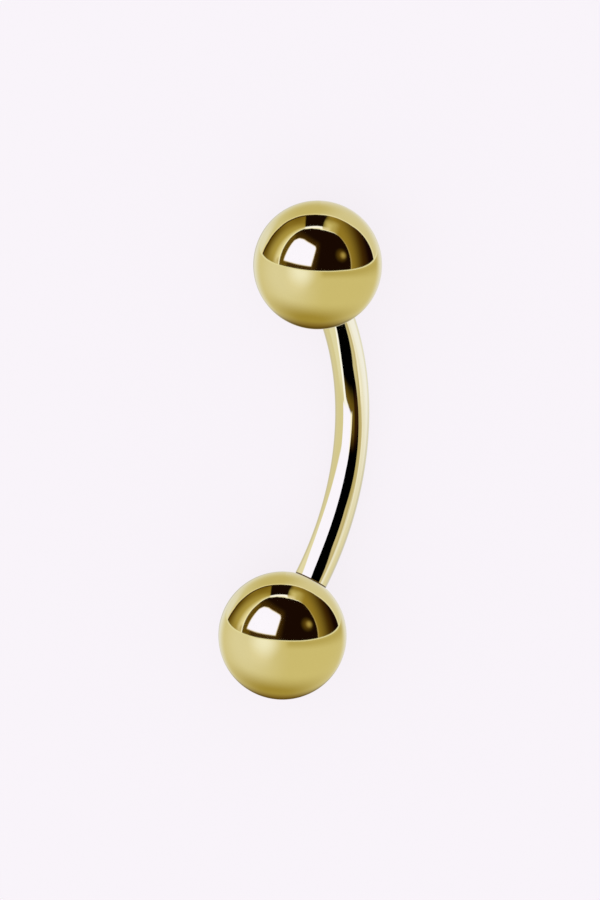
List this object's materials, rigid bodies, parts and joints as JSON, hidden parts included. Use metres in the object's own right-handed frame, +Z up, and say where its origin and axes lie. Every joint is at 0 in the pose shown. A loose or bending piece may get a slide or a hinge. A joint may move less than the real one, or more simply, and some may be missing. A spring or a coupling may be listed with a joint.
{
  "type": "curved eyebrow barbell",
  "caption": "Small curved round bar with a polished ball screwed tight on each end, worn through a piercing in the eyebrow.",
  "frame": {"origin": "on the surface it lies on, under the middle of its box; both balls and the belly of the bend touch that surface", "axes": "+X from the centre of the lower ball to the centre of the upper ball, +Z up, and the bend leans down towards -Y"},
  "size_m": [0.016, 0.004, 0.004],
  "materials": {
    "bar_gold": "mirror-polished pale gold plating on surgical steel",
    "ball_gold": "mirror-polished pale gold plating on surgical steel"
  },
  "bodies": {
    "root": {"bar": "bar_gold", "upper_ball": "ball_gold", "lower_ball": "ball_gold"}
  },
  "joints": []
}
